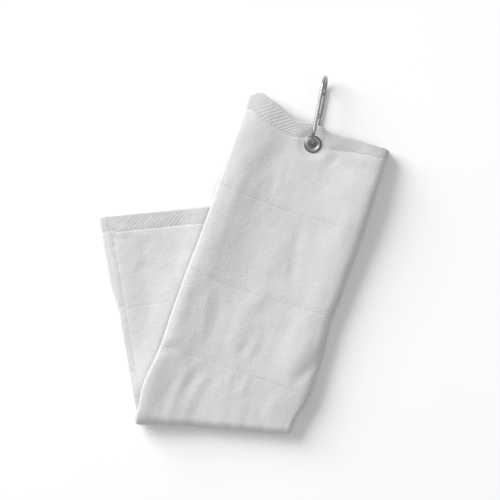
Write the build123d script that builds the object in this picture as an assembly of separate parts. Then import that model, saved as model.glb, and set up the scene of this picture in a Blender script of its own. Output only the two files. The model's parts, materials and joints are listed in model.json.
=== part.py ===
from build123d import *
from math import cos, pi, radians, sin, tan
import os

# Folded golf towel with a grommet and a spring-gate hook.
# The cloth is one terry velour rectangle folded in three lengthwise, then once
# across its length along a slanted line, so two arms lie in a narrow V.
# +Z is up from the resting surface, +Y runs from the cross fold towards the
# grommet, and the origin is the bottom centre of the bounding box. Millimetres.

# ---------------------------------------------------------------- cloth sizes
STRIP_W = 127.0                      # the three-layer strip, a third of the towel
HALF_W = STRIP_W / 2
LAYER_T = 2.2
LAYER_GAP = 0.3                      # air between two layers
PITCH = LAYER_T + LAYER_GAP
STACK_T = 2 * PITCH + LAYER_T
ARM_GAP = 1.8                        # air between the lower and upper arms
UPPER_TILT = 19.7                    # arm direction, degrees clockwise from +Y
LOWER_TILT = -9.8
UPPER_LEFT_LEN = 277.0               # left side of each arm, from the fold line
LOWER_LEFT_LEN = 166.3
END_HEM_W = 14.0                     # turned twill hem on each short end
SIDE_HEM_W = 7.0                     # narrow turned hem on each long edge

BAND_W = 5.0                         # ribbed band woven across the towel
BAND_DEPTH = 0.6                     # groove that holds the band
BAND_T = 0.5
BAND_CLEAR = 0.1                     # between the band and the groove's sides
BAND_INSET = 2.0                     # groove end to the start of a lengthwise fold
BAND_HEM_GAP = 0.5                   # groove end to the outer flap's side hem
UPPER_BANDS = (71.0, 143.0, 213.0)   # distances from the arm's end
LOWER_BANDS = (77.0, 154.0)

THREAD_W = 0.5
THREAD_T = 0.3                       # needle thread on an outside face
THREAD_IN_T = 0.2                    # bobbin thread between two layers
THREAD_IN_CLEAR = 0.05               # under the bobbin thread
HEM_SEAM = 12.4                      # end hem seam, from the end
HEM_SEAM_INSET = 5.5                 # end hem seam, from the strip's sides
HEM_SEAM_EDGE_GAP = 2.0              # inner threads stop this far from the flap's edge
SIDE_SEAM = 5.8                      # side hem seam, from the edge
SIDE_SEAM_END_GAP = 0.5              # inner side thread to the end hem

# ------------------------------------- folds along the strip, seen in section
# Section coordinates: x to the right of the arm's centre line, y across the layers.
SMALL_FOLD_R = (PITCH + LAYER_T) / 2          # between panel and inner flap
SMALL_FOLD_R_IN = (PITCH - LAYER_T) / 2
BIG_FOLD_R = (2 * PITCH + LAYER_T) / 2        # between panel and outer flap
BIG_FOLD_R_IN = (2 * PITCH - LAYER_T) / 2
FLAT_LEFT = -HALF_W + SMALL_FOLD_R            # flat layers run between these
FLAT_RIGHT = HALF_W - BIG_FOLD_R
INNER_EDGE = FLAT_RIGHT - 0.7                 # free edge of the inner flap
OUTER_EDGE = -HALF_W + 0.5                    # free edge of the outer flap
INNER_HEM_START = INNER_EDGE - SIDE_HEM_W
OUTER_HEM_END = OUTER_EDGE + SIDE_HEM_W


def heading(tilt):
    return Vector(sin(radians(tilt)), cos(radians(tilt)), 0)


def across(tilt):
    """Direction to the right of a heading."""
    return Vector(cos(radians(tilt)), -sin(radians(tilt)), 0)


# ----------------------------------------------------------------- cross fold
HALF_V = (UPPER_TILT - LOWER_TILT) / 2
FOLD_TILT = (UPPER_TILT + LOWER_TILT) / 2
FOLD_OUT = heading(FOLD_TILT)                 # from the fold towards the arms
FOLD_ALONG = across(FOLD_TILT)
STRETCH = 1 / cos(radians(HALF_V))            # slanted width over square width
SLANT = STRIP_W * tan(radians(HALF_V))        # length difference of an arm's sides
FOLD_LEFT_END = Vector(-92.318, -131.193, 0)
FOLD_MID = FOLD_LEFT_END + FOLD_ALONG * (HALF_W * STRETCH)
FOLD_CLEAR = 0.25                             # each arm starts this far off the line
OVERRUN = 40.0                                # arms are built past the line, then cut
Z_UPPER = STACK_T + ARM_GAP                   # underside of the upper arm
Z_HINGE = STACK_T + ARM_GAP / 2


def rect(x0, x1, y0, y1):
    return Pos((x0 + x1) / 2, (y0 + y1) / 2) * Rectangle(x1 - x0, y1 - y0)


def layer(x0, x1, y0):
    return rect(x0, x1, y0, y0 + LAYER_T)


def half_ring(x, y, outer_r, inner_r, left):
    clip = 20
    ring = Pos(x, y) * (Circle(outer_r) - Circle(inner_r))
    x0, x1 = (x - clip, x) if left else (x, x + clip)
    return ring & rect(x0, x1, y - clip, y + clip)


def profile(full):
    """Spiral section of the three layers, panel on top, y from 0 to STACK_T.
    full reaches both free edges; otherwise it stops at the side hems."""
    outer_start = OUTER_EDGE if full else OUTER_HEM_END
    inner_end = INNER_EDGE if full else INNER_HEM_START
    section = layer(FLAT_LEFT, FLAT_RIGHT, 2 * PITCH)
    section += layer(FLAT_LEFT, inner_end, PITCH)
    section += layer(outer_start, FLAT_RIGHT, 0)
    section += half_ring(FLAT_LEFT, PITCH + SMALL_FOLD_R, SMALL_FOLD_R, SMALL_FOLD_R_IN, True)
    section += half_ring(FLAT_RIGHT, BIG_FOLD_R, BIG_FOLD_R, BIG_FOLD_R_IN, False)
    return section


def trim_at_fold(shape):
    """Keeps what lies on the arms' side of the fold line."""
    depth = 400
    centre = FOLD_MID + FOLD_OUT * (FOLD_CLEAR + depth / 2)
    return shape & (Plane(origin=centre, x_dir=FOLD_ALONG, z_dir=(0, 0, 1)) * Box(600, depth, 100))


class Arm:
    """One arm of the V. s runs along its centre line from the fold line, x to
    the right of it. A flipped arm has its panel underneath."""

    def __init__(self, tilt, length, z_low, flipped):
        self.along, self.right = heading(tilt), across(tilt)
        self.length, self.z_low, self.flipped = length, z_low, flipped
        self.cloth_end = length - END_HEM_W

    def point(self, s, x=0, z=0):
        return FOLD_MID + self.along * s + self.right * x + Vector(0, 0, z)

    def height(self, y):
        """Height above the resting surface of a section height y."""
        return self.z_low + (STACK_T - y if self.flipped else y)

    def prism(self, face, s0, s1):
        """Section extruded from s0 to s1."""
        if self.flipped:
            face = mirror(face, about=Plane.XZ)
        origin = self.point(s1, z=self.height(0))
        plane = Plane(origin=origin, x_dir=self.right, z_dir=self.along * -1)
        return extrude(plane * face, amount=s1 - s0)

    def box(self, s0, s1, x0, x1, y0, y1):
        """Block between section heights y0 and y1, in either order."""
        z = (self.height(y0) + self.height(y1)) / 2
        centre = self.point((s0 + s1) / 2, (x0 + x1) / 2, z)
        plane = Plane(origin=centre, x_dir=self.right, z_dir=(0, 0, 1))
        return plane * Box(x1 - x0, s1 - s0, abs(y1 - y0))


upper = Arm(UPPER_TILT, UPPER_LEFT_LEN - SLANT / 2, Z_UPPER, False)
lower = Arm(LOWER_TILT, LOWER_LEFT_LEN + SLANT / 2, 0.0, True)

# -------------------------------------------------------------- grommet sizes
GROMMET_FROM_END = 16.0
HOLE_R = 3.6                         # clear hole, a number 1 size
BARREL_R = 4.1
SHEET_T = BARREL_R - HOLE_R
FLANGE_R = 7.3
FLANGE_H = 1.3
CLAMPED_T = 4.6                      # layers squeezed between flange and washer
HALF_CLAMPED = CLAMPED_T / 2
CLOTH_HOLE_R = 4.2
RECESS_R = 7.7
WASHER_T = 0.5
WASHER_HOLE_R = 4.4
WASHER_CHAMFER = 0.2

HOLE = upper.point(upper.length - GROMMET_FROM_END)
AT_GROMMET = Pos(HOLE.X, HOLE.Y, Z_UPPER + STACK_T / 2)


def save(name, *shapes):
    """Writes the solids of the shapes as one part."""
    solids = [solid for shape in shapes for solid in shape.solids()]
    part = solids[0] if len(solids) == 1 else Compound(children=solids)
    part.label = name
    export_step(part, f"parts/{name}.step")


# ---------------------------------------------------------------------- cloth
def weave_bands(arm, cloth, distances):
    """Cuts shallow grooves in the panel's and the outer flap's faces, and makes
    a ribbed strip for each."""
    # face height, direction into the cloth, left end of the groove
    faces = (
        (STACK_T, -1, FLAT_LEFT + BAND_INSET),
        (0.0, 1, OUTER_HEM_END + BAND_HEM_GAP),
    )
    x1 = FLAT_RIGHT - BAND_INSET
    strips = []
    for from_end in distances:
        s0 = arm.length - from_end - BAND_W / 2
        s1 = s0 + BAND_W
        for face, inward, x0 in faces:
            floor = face + inward * BAND_DEPTH
            cloth -= arm.box(s0, s1, x0, x1, face, floor)
            strips.append(arm.box(
                s0 + BAND_CLEAR, s1 - BAND_CLEAR, x0 + BAND_CLEAR, x1 - BAND_CLEAR,
                floor - inward * BAND_T, floor,
            ))
    return cloth, strips


def end_hem_threads(arm):
    """A needle thread on the arm's top and a bobbin thread in each layer gap."""
    s0 = arm.length - HEM_SEAM - THREAD_W / 2
    s1 = s0 + THREAD_W
    x0 = -HALF_W + HEM_SEAM_INSET
    top = (0.0, -THREAD_T) if arm.flipped else (STACK_T, STACK_T + THREAD_T)
    threads = [arm.box(s0, s1, x0, -x0, *top)]
    for gap in (LAYER_T, PITCH + LAYER_T):
        y0 = gap + THREAD_IN_CLEAR
        x1 = INNER_EDGE - HEM_SEAM_EDGE_GAP
        threads.append(arm.box(s0, s1, x0, x1, y0, y0 + THREAD_IN_T))
    return threads


def side_hem_threads(arm):
    """One thread outside the outer flap, one between panel and inner flap."""
    y_inner = PITCH + LAYER_T + THREAD_IN_CLEAR
    # centre x, end s, section heights
    seams = (
        (OUTER_EDGE + SIDE_SEAM, arm.cloth_end, -THREAD_T, 0.0),
        (INNER_EDGE - SIDE_SEAM, arm.cloth_end - SIDE_SEAM_END_GAP,
         y_inner, y_inner + THREAD_IN_T),
    )
    return [
        trim_at_fold(arm.box(-OVERRUN, s1, x - THREAD_W / 2, x + THREAD_W / 2, y0, y1))
        for x, s1, y0, y1 in seams
    ]


def side_hem(arm, x0, y0):
    section = layer(x0, x0 + SIDE_HEM_W, y0)
    return trim_at_fold(arm.prism(section, -OVERRUN, arm.cloth_end))


def grommet_cutter():
    """Hole through the cloth, with a recess above and below the clamped part."""
    recess_h = 10
    cutter = AT_GROMMET * Cylinder(CLOTH_HOLE_R, 40)
    for side in (1, -1):
        offset = side * (HALF_CLAMPED + recess_h / 2)
        cutter += AT_GROMMET * Pos(0, 0, offset) * Cylinder(RECESS_R, recess_h)
    return cutter


def make_arm(arm, prefix, end_name, band_distances):
    cloth = trim_at_fold(arm.prism(profile(False), -OVERRUN, arm.cloth_end))
    cloth, strips = weave_bands(arm, cloth, band_distances)
    end_hem = arm.prism(profile(True), arm.cloth_end, arm.length)
    hem_threads = end_hem_threads(arm)
    if arm is upper:
        cutter = grommet_cutter()
        cloth -= cutter
        end_hem -= cutter
        hem_threads = [thread - cutter for thread in hem_threads]

    save(f"{prefix}_cloth", cloth)
    save(f"{end_name}_end_hem", end_hem)
    save(f"{prefix}_outer_side_hem", side_hem(arm, OUTER_EDGE, 0))
    save(f"{prefix}_inner_side_hem", side_hem(arm, INNER_HEM_START, PITCH))
    save(f"{prefix}_woven_bands", *strips)
    save(f"{end_name}_hem_thread", *hem_threads)
    save(f"{prefix}_side_hem_thread", *side_hem_threads(arm))


def cross_fold():
    """The spiral section, stretched along the slanted fold line and turned half
    a revolution about the hinge line."""
    section = scale(profile(True), by=(STRETCH, 1, 1))
    plane = Plane(origin=FOLD_MID + Vector(0, 0, Z_UPPER), x_dir=FOLD_ALONG, z_dir=FOLD_OUT * -1)
    hinge = Axis(origin=FOLD_MID + Vector(0, 0, Z_HINGE), direction=FOLD_ALONG)
    return revolve(plane * section, axis=hinge, revolution_arc=180)


# -------------------------------------------------------------------- grommet
def half_ellipse(x, z, radius_x, radius_z, steps=18):
    """Points over the top of an ellipse, from its +X end to its -X end."""
    angles = [pi * i / steps for i in range(steps + 1)]
    return [(x + radius_x * cos(angle), z + radius_z * sin(angle)) for angle in angles]


def grommet_eyelet():
    """Domed flange on top, barrel through the cloth, rolled lip below."""
    dome_x = (HOLE_R + FLANGE_R) / 2
    dome_r = (FLANGE_R - HOLE_R) / 2
    outer = half_ellipse(dome_x, HALF_CLAMPED, dome_r, FLANGE_H)
    inner = half_ellipse(dome_x, HALF_CLAMPED, dome_r - SHEET_T, FLANGE_H - SHEET_T)[::-1]
    # (radius, drop below the clamped cloth)
    lip_under = [(HOLE_R, 0.15), (3.98, 0.85), (5.1, 1.05)]
    lip_over = [(5.1, 1.05), (5.1, 0.55), (4.35, 0.55), (BARREL_R, 0.3)]
    lip_under = [(radius, -HALF_CLAMPED - drop) for radius, drop in lip_under]
    lip_over = [(radius, -HALF_CLAMPED - drop) for radius, drop in lip_over]
    with BuildPart() as eyelet:
        with BuildSketch(Plane.XZ):
            with BuildLine():
                Spline(*outer, tangents=[(0, 1), (0, -1)])
                Polyline(outer[-1], lip_under[0])
                ThreePointArc(*lip_under)
                Polyline(*lip_over, inner[0])
                Spline(*inner, tangents=[(0, 1), (0, -1)])
                Polyline(inner[-1], outer[0])
            make_face()
        revolve(axis=Axis.Z)
    return AT_GROMMET * eyelet.part


def grommet_washer():
    washer = Cylinder(FLANGE_R, WASHER_T) - Cylinder(WASHER_HOLE_R, WASHER_T)
    washer = Pos(0, 0, -HALF_CLAMPED - WASHER_T / 2) * washer
    bottom = washer.edges().filter_by(GeomType.CIRCLE).group_by(Axis.Z)[0]
    return AT_GROMMET * chamfer(bottom.sort_by(SortBy.RADIUS)[-1], WASHER_CHAMFER)


# ----------------------------------------------------------------- hook sizes
WIRE_R = 1.6
RING_W = 22.0                        # centre line to centre line
RING_L = 56.0
RING_R = RING_W / 2
RING_OFF = 0.6                       # the wire sits this far outboard of the hole's axis
RING_TURN = 11.0                     # ring direction, degrees clockwise from +Y
RING_LEAN = 7.0                      # ring plane off the vertical
RING_LIFT = 0.3                      # added to the ring's height
# Places along the gate are measured from the wire in the grommet.
WIRE_HEEL_X = 21.8                   # wire end at the gate's hinge
WIRE_NOSE_X = 45.3                   # wire end at the gate's nose
RIVET_X = 24.5                       # gate hinge
LATCH_X = 42.6                       # latch pin
TONGUE_T = 1.3                       # flat tongue on each wire end
TONGUE_ROOT = 0.5                    # tongue's overlap with the wire
HEEL_H, HEEL_PAST_RIVET = 2.6, 1.7
NOSE_H, NOSE_X0, NOSE_Z = 2.3, 41.5, -0.15
NOTCH_CLEAR = 0.1                    # around the latch pin
GATE_R = 1.8
GATE_X0, GATE_X1 = 22.7, 45.0
GATE_FILLET = 0.35
SLOT_W = 1.6
HEEL_SLOT_PAST_RIVET = 2.5
NOSE_SLOT_X = 41.0
FLAT_Y = 1.51                        # flats under the rivet heads
FLAT_L = 3.0
RIVET_R, RIVET_L = 0.6, 3.06
RIVET_HEAD_R, RIVET_HEAD_T = 1.0, 0.36
RIVET_FILLET = 0.15
RIVET_BORE_R = 0.65
LATCH_R, LATCH_L = 0.5, 3.3
BORE_R = 0.95                        # spring bore
BORE_X0, BORE_X1 = RIVET_X + 1.3, 38.0
PLUNGER_R, PLUNGER_L = 0.88, 3.0
PLUNGER_X = RIVET_X + 1.75
SPRING_X = PLUNGER_X + PLUNGER_L + 0.15
SPRING_L = BORE_X1 - SPRING_X - 0.3
SPRING_R, SPRING_WIRE_R, SPRING_TURNS = 0.68, 0.13, 9
CUT = 6                              # cutters reach right through the gate
WIRE_CUT = 5                         # and through the wire and its tongues

# Hook frame: X outboard along the gate's axis from the wire in the grommet,
# Z towards the ring's upper strand, Y across the ring's plane.
RING_CENTRE = (HOLE.X, HOLE.Y, WIRE_R + RING_R + RING_LIFT)
RING_PLANE = Plane(origin=RING_CENTRE, x_dir=heading(RING_TURN), z_dir=(0, 0, 1))
HOOK = (
    RING_PLANE.location
    * Location((0, 0, 0), (-RING_LEAN, 0, 0))
    * Pos(RING_OFF, 0, -RING_R)
)


def bar(x0, x1, width, height, z=0):
    return Pos((x0 + x1) / 2, 0, z) * Box(x1 - x0, width, height)


def rod(x0, x1, radius):
    """Cylinder along the gate's axis."""
    return Pos((x0 + x1) / 2, 0, 0) * Rot(0, 90, 0) * Cylinder(radius, x1 - x0)


def pin(x, radius, length, y=0):
    """Cylinder across the ring's plane."""
    return Pos(x, y, 0) * Rot(90, 0, 0) * Cylinder(radius, length)


def hook_body():
    """Wire ring open along the gate, with a flat tongue at each end."""
    bend_x = RING_L - RING_R
    path = Line((WIRE_HEEL_X, 0, 0), (RING_R, 0, 0))
    path += ThreePointArc((RING_R, 0, 0), (0, 0, RING_R), (RING_R, 0, RING_W))
    path += Line((RING_R, 0, RING_W), (bend_x, 0, RING_W))
    path += ThreePointArc((bend_x, 0, RING_W), (RING_L, 0, RING_R), (bend_x, 0, 0))
    body = sweep(Plane(origin=(WIRE_HEEL_X, 0, 0), z_dir=(-1, 0, 0)) * Circle(WIRE_R), path=path)
    # The nose end of the wire is cut back.
    body -= bar(WIRE_NOSE_X - 10, WIRE_NOSE_X, WIRE_CUT, WIRE_CUT)

    heel = bar(WIRE_HEEL_X - TONGUE_ROOT, RIVET_X + HEEL_PAST_RIVET, TONGUE_T, HEEL_H)
    heel -= pin(RIVET_X, RIVET_R, WIRE_CUT)
    nose = bar(NOSE_X0, WIRE_NOSE_X + TONGUE_ROOT, TONGUE_T, NOSE_H, NOSE_Z)
    # The latch notch is open towards the inside of the ring.
    notch_r, notch_h = LATCH_R + NOTCH_CLEAR, 3
    notch = pin(LATCH_X, notch_r, WIRE_CUT)
    notch += bar(LATCH_X - notch_r, LATCH_X + notch_r, WIRE_CUT, notch_h, notch_h / 2)
    return body + heel + (nose - notch)


def hinge_rivet():
    rivet = pin(0, RIVET_R, RIVET_L)
    for side in (1, -1):
        head_y = side * (RIVET_L + RIVET_HEAD_T) / 2
        rivet += pin(0, RIVET_HEAD_R, RIVET_HEAD_T, head_y)
    for end in (0, -1):
        rim = rivet.edges().filter_by(GeomType.CIRCLE).group_by(Axis.Y)[end]
        rivet = fillet(rim, RIVET_FILLET)
    return Pos(RIVET_X, 0, 0) * rivet


def hook_gate():
    """Round bar, slotted at both ends for the tongues and bored for the spring."""
    gate = rod(GATE_X0, GATE_X1, GATE_R)
    gate = fillet(gate.edges().filter_by(GeomType.CIRCLE), GATE_FILLET)
    gate -= bar(GATE_X0 - 1, RIVET_X + HEEL_SLOT_PAST_RIVET, SLOT_W, CUT)
    gate -= bar(NOSE_SLOT_X, GATE_X1 + 1, SLOT_W, CUT)
    gate -= rod(BORE_X0, BORE_X1, BORE_R)
    gate -= pin(RIVET_X, RIVET_BORE_R, CUT)
    flat_cut = 2.0
    for side in (1, -1):
        flat_y = side * (FLAT_Y + flat_cut / 2)
        gate -= Pos(RIVET_X, flat_y, 0) * Box(FLAT_L, flat_cut, CUT)
    gate -= pin(LATCH_X, LATCH_R, CUT)
    return gate


def gate_spring():
    coil = Helix(pitch=SPRING_L / SPRING_TURNS, height=SPRING_L, radius=SPRING_R)
    wire = Plane(origin=coil @ 0, z_dir=coil % 0) * Circle(SPRING_WIRE_R)
    spring = sweep(wire, path=coil, is_frenet=True)
    return Pos(SPRING_X, 0, 0) * Rot(0, 90, 0) * spring


# ---------------------------------------------------------------------- write
os.makedirs("parts", exist_ok=True)
make_arm(upper, "upper", "top", UPPER_BANDS)
make_arm(lower, "lower", "bottom", LOWER_BANDS)
save("half_fold_bend", cross_fold())
save("grommet_eyelet", grommet_eyelet())
save("grommet_washer", grommet_washer())
save("hook_body", HOOK * hook_body())
save("gate_hinge_rivet", HOOK * hinge_rivet())
save("hook_gate", HOOK * hook_gate())
save("gate_latch_pin", HOOK * pin(LATCH_X, LATCH_R, LATCH_L))
save("spring_plunger", HOOK * rod(PLUNGER_X, PLUNGER_X + PLUNGER_L, PLUNGER_R))
save("gate_spring", HOOK * gate_spring())
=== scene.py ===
# A towel with a grommet and a clip hook, lying on a pale floor and seen from above.
# The towel is folded in three along its length, then in half on a slant. From the half fold
# both arms run towards +Y: the upper arm leans to +X and lies over the lower arm, which
# leans to -X. Left is -X, right is +X, down the towel is -Y and the floor is near z = 0.
# Cloth is worked out in millimetres and turned into metres when a mesh is written.
import json
import math
from collections import namedtuple

import bmesh
import bpy
import numpy as np
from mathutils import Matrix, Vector


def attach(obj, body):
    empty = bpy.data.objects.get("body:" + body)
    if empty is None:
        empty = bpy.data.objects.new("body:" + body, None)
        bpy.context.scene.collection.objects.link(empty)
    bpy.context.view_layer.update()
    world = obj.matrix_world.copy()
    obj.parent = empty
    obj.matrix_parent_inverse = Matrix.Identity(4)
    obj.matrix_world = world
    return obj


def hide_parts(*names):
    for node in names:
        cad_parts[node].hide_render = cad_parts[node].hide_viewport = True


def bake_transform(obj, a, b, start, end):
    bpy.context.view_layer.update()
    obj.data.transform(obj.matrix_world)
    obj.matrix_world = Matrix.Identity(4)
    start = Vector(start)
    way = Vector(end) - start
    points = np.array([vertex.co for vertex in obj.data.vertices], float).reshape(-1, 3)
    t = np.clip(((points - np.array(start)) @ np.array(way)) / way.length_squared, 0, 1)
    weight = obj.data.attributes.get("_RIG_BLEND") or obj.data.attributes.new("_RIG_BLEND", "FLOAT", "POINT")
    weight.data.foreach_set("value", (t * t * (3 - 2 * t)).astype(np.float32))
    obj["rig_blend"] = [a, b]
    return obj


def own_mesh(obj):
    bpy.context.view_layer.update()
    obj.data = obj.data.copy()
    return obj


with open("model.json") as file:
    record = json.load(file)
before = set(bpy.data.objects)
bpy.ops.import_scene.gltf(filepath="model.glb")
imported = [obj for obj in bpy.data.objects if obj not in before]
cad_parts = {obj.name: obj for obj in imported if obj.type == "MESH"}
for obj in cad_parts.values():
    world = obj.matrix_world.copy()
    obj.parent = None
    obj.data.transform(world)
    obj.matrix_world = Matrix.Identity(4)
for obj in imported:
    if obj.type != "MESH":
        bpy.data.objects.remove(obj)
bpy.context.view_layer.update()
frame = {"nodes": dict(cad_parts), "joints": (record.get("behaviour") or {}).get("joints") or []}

MM = 0.001
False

# ------------------------------------------------------------ driving sizes, mm
JOINTS = {joint["name"]: joint for joint in frame["joints"]}
HINGE = np.array(JOINTS["half_fold"]["pos_m"]) / MM
HOLE = np.array(JOINTS["grommet_swing"]["pos_m"]) / MM
TOWEL_MIDDLE = (3.022, 4.887)  # x and y of the resting towel's middle
UPPER_DEG, LOWER_DEG = 19.7, -9.8  # headings of the arms, from +Y towards +X
MID_DEG = (UPPER_DEG + LOWER_DEG) / 2
HALF_ANGLE = math.radians((UPPER_DEG - LOWER_DEG) / 2)
SLANT = math.tan(HALF_ANGLE)  # slope of the half fold across an arm

HALF_WIDTH = 63.5
THICK = 2.2
HALF_THICK = THICK / 2
PITCH = 2.5  # from one layer's middle to the next
STACK = 2 * PITCH + THICK
UPPER_Z = 9.0  # underside of the flat upper arm
HALF_GAP = (UPPER_Z - STACK) / 2
HEM = 14.0  # depth of the end hems
HEM_SEAM = 12.4  # from the end to its row of stitches
SIDE_HEM = 7.0
SIDE_SEAM = 5.8

UPPER, BEND, LOWER = 0, 1, 2  # regions of the strip
# Lengths are on the centre line, and bands are at distances from the arm's end. Rows tilt
# towards the half fold from slant_from on, and recess is the bands' depth in the pile.
Arm = namedtuple("Arm", "name region length bands extra_rows slant_from slant_sign recess")
UPPER_ARM = Arm("upper", UPPER, 260.282, (71.0, 143.0, 213.0), (218.0,), 218.0, -1, 0.22)
LOWER_ARM = Arm("lower", LOWER, 183.018, (77.0, 154.0), (), 157.0, 1, 0.16)


def away_axis(deg):
    """Unit vector from the half fold along an arm."""
    return np.array([math.sin(math.radians(deg)), math.cos(math.radians(deg)), 0.0])


def across_axis(deg):
    """Unit vector across an arm, to its right."""
    return np.array([math.cos(math.radians(deg)), -math.sin(math.radians(deg)), 0.0])


UPPER_AWAY, UPPER_ACROSS = away_axis(UPPER_DEG), across_axis(UPPER_DEG)
LOWER_AWAY, LOWER_ACROSS = away_axis(LOWER_DEG), across_axis(LOWER_DEG)
FOLD_AWAY, FOLD_ACROSS = away_axis(MID_DEG), across_axis(MID_DEG)
FOLD_MIDDLE = np.array([HINGE[0], HINGE[1], 0.0])


# --------------------------------------------------------------- smooth helpers
def ease(value, start, stop):
    """Rises smoothly from 0 at start to 1 at stop."""
    t = np.clip((value - start) / (stop - start), 0, 1)
    return t * t * (3 - 2 * t)


def fade(value, start, stop):
    """Falls smoothly from 1 at start to 0 at stop."""
    return 1 - ease(value, start, stop)


def noise(x, y, size, seed):
    """Smooth value noise from -1 to 1, with features about `size` mm across."""
    count = 64
    lattice = np.random.default_rng(seed).uniform(-1, 1, (count, count))
    x, y = x / size + 1000.0, y / size + 1000.0
    col, row = np.floor(x).astype(int), np.floor(y).astype(int)
    part_x, part_y = (t**3 * (t * (6 * t - 15) + 10) for t in (x - col, y - row))

    def corner(step_x, step_y):
        return lattice[(col + step_x) % count, (row + step_y) % count]

    near = corner(0, 0) * (1 - part_x) + corner(1, 0) * part_x
    far = corner(0, 1) * (1 - part_x) + corner(1, 1) * part_x
    return near * (1 - part_y) + far * part_y


def layered_noise(x, y, size, seed):
    """Three noises, each finer and half as strong as the one before."""
    return sum(0.5**k * noise(x, y, size / 1.9**k, seed + k) for k in range(3))


# ---------------------------------------------------------------- cloth section
# The three layers are one spiral: outer flap, big fold, panel, small fold, inner flap.
# `run` is the distance along its middle line, `across` the place across the arm and
# `level` the height in the stack. `off` is the distance off the middle line, outward.
OUTER_LEVEL = HALF_THICK
INNER_LEVEL = OUTER_LEVEL + PITCH
PANEL_LEVEL = INNER_LEVEL + PITCH
BIG_RADIUS, SMALL_RADIUS = PITCH, PITCH / 2
BIG_FOLD = HALF_WIDTH - HALF_THICK - BIG_RADIUS  # centre, on the right
SMALL_FOLD = -(HALF_WIDTH - HALF_THICK - SMALL_RADIUS)  # centre, on the left
OUTER_EDGE, INNER_EDGE = -63.0, 59.2  # free edges of the two flaps
# Where the flap, the big fold, the panel, the small fold and the whole section end.
OUTER_END, BIG_END, PANEL_END, SMALL_END, RUN_END = np.cumsum([
    BIG_FOLD - OUTER_EDGE,
    math.pi * BIG_RADIUS,
    BIG_FOLD - SMALL_FOLD,
    math.pi * SMALL_RADIUS,
    INNER_EDGE - SMALL_FOLD,
])


def section(run):
    """Across and level of the middle line, and its outward normal in the same two axes."""
    part = np.searchsorted([OUTER_END, BIG_END, PANEL_END, SMALL_END], run, side="right")
    big = (run - OUTER_END) / BIG_RADIUS
    small = (run - PANEL_END) / SMALL_RADIUS
    across = np.choose(part, (
        OUTER_EDGE + run,
        BIG_FOLD + BIG_RADIUS * np.sin(big),
        BIG_FOLD - (run - BIG_END),
        SMALL_FOLD - SMALL_RADIUS * np.sin(small),
        SMALL_FOLD + (run - SMALL_END),
    ))
    level = np.choose(part, (
        OUTER_LEVEL,
        INNER_LEVEL - BIG_RADIUS * np.cos(big),
        PANEL_LEVEL,
        PANEL_LEVEL - SMALL_RADIUS + SMALL_RADIUS * np.cos(small),
        INNER_LEVEL,
    ))
    out_across = np.choose(part, (0.0, np.sin(big), 0.0, -np.sin(small), 0.0))
    out_level = np.choose(part, (-1.0, -np.cos(big), 1.0, np.cos(small), -1.0))
    return across, level, out_across, out_level


def run_at(layer, across):
    """Run for a place across one layer."""
    return {
        "outer": across - OUTER_EDGE,
        "panel": BIG_END + BIG_FOLD - across,
        "inner": SMALL_END + across - SMALL_FOLD,
    }[layer]


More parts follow.
